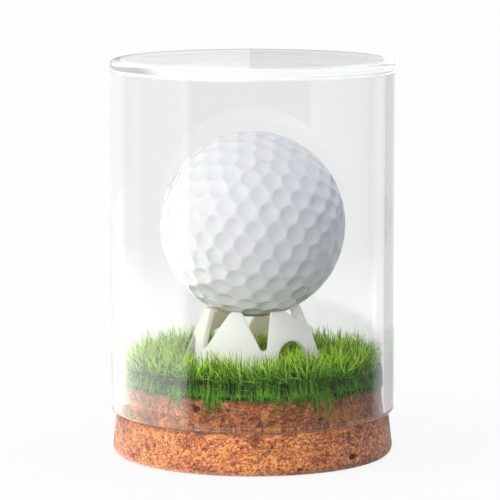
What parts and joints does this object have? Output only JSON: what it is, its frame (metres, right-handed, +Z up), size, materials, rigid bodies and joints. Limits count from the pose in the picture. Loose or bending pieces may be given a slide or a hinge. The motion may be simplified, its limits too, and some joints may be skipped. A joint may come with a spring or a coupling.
{
  "type": "golf ball display case",
  "caption": "Round glass dome on a tapered cork base, holding a golf ball on a pointed ring stand over a small artificial lawn; the dome and the ball lift off.",
  "frame": {"origin": "centre of the cork's underside", "axes": "+Z up through the top of the dome; the pictured front faces -Y and +X is to its right"},
  "size_m": [0.0656, 0.0656, 0.0911],
  "materials": {
    "cork": "matt pressed cork granules",
    "turf_backing": "matt latex coat",
    "turf": "glossy green plastic blades",
    "stand": "satin white moulding",
    "glass": "clear and polished",
    "ball_core": "matt moulded rubber",
    "ball_cover": "glossy white paint under clear coat"
  },
  "bodies": {
    "base": {"cork_base": "cork", "turf_backing": "turf_backing", "turf_pile": "turf", "ball_stand": "stand"},
    "dome": {"glass_dome": "glass"},
    "ball": {"ball_core": "ball_core", "ball_cover_lower": "ball_cover", "ball_cover_upper": "ball_cover"}
  },
  "joints": [
    {"name": "dome_lift", "type": "slide", "parent": "base", "child": "dome", "axis": [0, 0, 1], "range_m": [0, 0.08]},
    {"name": "ball_lift", "type": "slide", "parent": "base", "child": "ball", "axis": [0, 0, 1], "range_m": [0, 0.012]}
  ]
}
